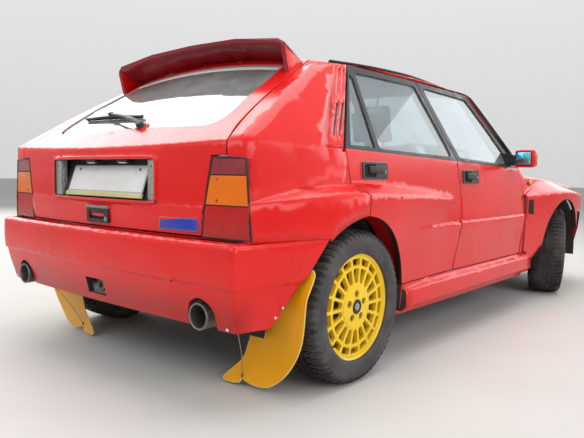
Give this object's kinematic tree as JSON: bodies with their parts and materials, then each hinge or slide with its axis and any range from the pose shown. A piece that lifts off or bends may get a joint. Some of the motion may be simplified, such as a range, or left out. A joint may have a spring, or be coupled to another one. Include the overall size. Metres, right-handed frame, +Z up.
{
  "type": "rally car",
  "caption": "Boxy rally hatchback with flared arches, roof spoiler, spoked wheels, mud flaps and opening doors, bonnet and tailgate.",
  "frame": {"origin": "on the ground, in the middle of the car's length and width", "axes": "+Y forward, +X the car's own right, +Z up"},
  "size_m": [1.9, 3.8998, 1.3655],
  "materials": {
    "red_paint": "gloss",
    "clear_glass": "gloss",
    "black_trim": "satin",
    "headlamp": "gloss",
    "tail_lamp": "gloss",
    "yellow_flap": "satin",
    "bare_steel": "matt",
    "dark_tank": "matt",
    "exhaust_steel": "satin",
    "engine_alloy": "satin",
    "seat_cloth": "matt",
    "tyre": "matt",
    "yellow_rim": "gloss"
  },
  "bodies": {
    "body": {"body_shell": "red_paint", "roof_panel": "red_paint", "windscreen": "clear_glass", "front_fenders": "red_paint", "rear_bumper": "red_paint", "front_bumper": "red_paint", "grille": "black_trim", "headlamps": "headlamp", "tail_lamps": "tail_lamp", "mud_flaps": "yellow_flap", "front_suspension": "bare_steel", "rear_suspension": "bare_steel", "drive_line": "bare_steel", "fuel_tank": "dark_tank", "exhaust": "exhaust_steel", "engine": "engine_alloy", "radiator": "engine_alloy", "front_seats": "seat_cloth", "rear_seat": "seat_cloth", "dashboard": "black_trim", "parcel_shelf": "black_trim", "tow_eyes": "bare_steel"},
    "bonnet": {"bonnet": "red_paint"},
    "tailgate": {"tailgate": "red_paint", "tailgate_glass": "clear_glass", "roof_spoiler": "red_paint"},
    "steering_wheel": {"steering_wheel": "black_trim"},
    "right_front_door": {"right_front_door": "red_paint", "right_front_door_glass": "clear_glass", "right_mirror": "red_paint"},
    "right_rear_door": {"right_rear_door": "red_paint", "right_rear_door_glass": "clear_glass"},
    "right_knuckle": {"right_knuckle": "bare_steel"},
    "right_front_wheel": {"right_front_tyre": "tyre", "right_front_rim": "yellow_rim"},
    "right_rear_wheel": {"right_rear_tyre": "tyre", "right_rear_rim": "yellow_rim"},
    "left_front_door": {"left_front_door": "red_paint", "left_front_door_glass": "clear_glass", "left_mirror": "red_paint"},
    "left_rear_door": {"left_rear_door": "red_paint", "left_rear_door_glass": "clear_glass"},
    "left_knuckle": {"left_knuckle": "bare_steel"},
    "left_front_wheel": {"left_front_tyre": "tyre", "left_front_rim": "yellow_rim"},
    "left_rear_wheel": {"left_rear_tyre": "tyre", "left_rear_rim": "yellow_rim"}
  },
  "joints": [
    {"name": "right_front_door_hinge", "type": "hinge", "parent": "body", "child": "right_front_door", "pos_m": [0.823, 0.563, 0.6], "axis": [0, 0, 1], "range_deg": [0, 66]},
    {"name": "right_rear_door_hinge", "type": "hinge", "parent": "body", "child": "right_rear_door", "pos_m": [0.818, -0.368, 0.6], "axis": [0, 0, 1], "range_deg": [0, 66]},
    {"name": "right_steering", "type": "hinge", "parent": "body", "child": "right_knuckle", "pos_m": [0.69, 1.16, 0.19], "axis": [-0.2556, 0, 0.9668], "range_deg": [-57, 13]},
    {"name": "right_front_wheel_spin", "type": "hinge", "parent": "right_knuckle", "child": "right_front_wheel", "pos_m": [0.74588, 1.19256, 0.29388], "axis": [0.9319, 0.3622, -0.018], "continuous": true},
    {"name": "right_rear_wheel_spin", "type": "hinge", "parent": "body", "child": "right_rear_wheel", "pos_m": [0.752, -1.32, 0.2955], "axis": [1, 0, 0], "continuous": true},
    {"name": "left_front_door_hinge", "type": "hinge", "parent": "body", "child": "left_front_door", "pos_m": [-0.823, 0.563, 0.6], "axis": [0, 0, -1], "range_deg": [0, 66]},
    {"name": "left_rear_door_hinge", "type": "hinge", "parent": "body", "child": "left_rear_door", "pos_m": [-0.818, -0.368, 0.6], "axis": [0, 0, -1], "range_deg": [0, 66]},
    {"name": "left_steering", "type": "hinge", "parent": "body", "child": "left_knuckle", "pos_m": [-0.69, 1.16, 0.19], "axis": [0.2556, 0, 0.9668], "range_deg": [-57, 13]},
    {"name": "left_front_wheel_spin", "type": "hinge", "parent": "left_knuckle", "child": "left_front_wheel", "pos_m": [-0.74588, 1.12744, 0.29388], "axis": [0.9319, 0.3622, 0.018], "continuous": true},
    {"name": "left_rear_wheel_spin", "type": "hinge", "parent": "body", "child": "left_rear_wheel", "pos_m": [-0.752, -1.32, 0.2955], "axis": [1, 0, 0], "continuous": true},
    {"name": "bonnet_hinge", "type": "hinge", "parent": "body", "child": "bonnet", "pos_m": [0, 1.853, 0.764], "axis": [-1, 0, 0], "range_deg": [0, 55]},
    {"name": "tailgate_hinge", "type": "hinge", "parent": "body", "child": "tailgate", "pos_m": [0, -1.297, 1.308], "axis": [-1, 0, 0], "range_deg": [0, 72]},
    {"name": "steering_wheel_turn", "type": "hinge", "parent": "body", "child": "steering_wheel", "pos_m": [-0.37, 0.205, 0.79], "axis": [0, -0.9063, 0.4226], "range_deg": [-820, 190]}
  ],
  "couplings": [
    {"joint": "right_steering", "follows": "left_steering", "ratio": 1},
    {"joint": "steering_wheel_turn", "follows": "left_steering", "ratio": 14}
  ]
}
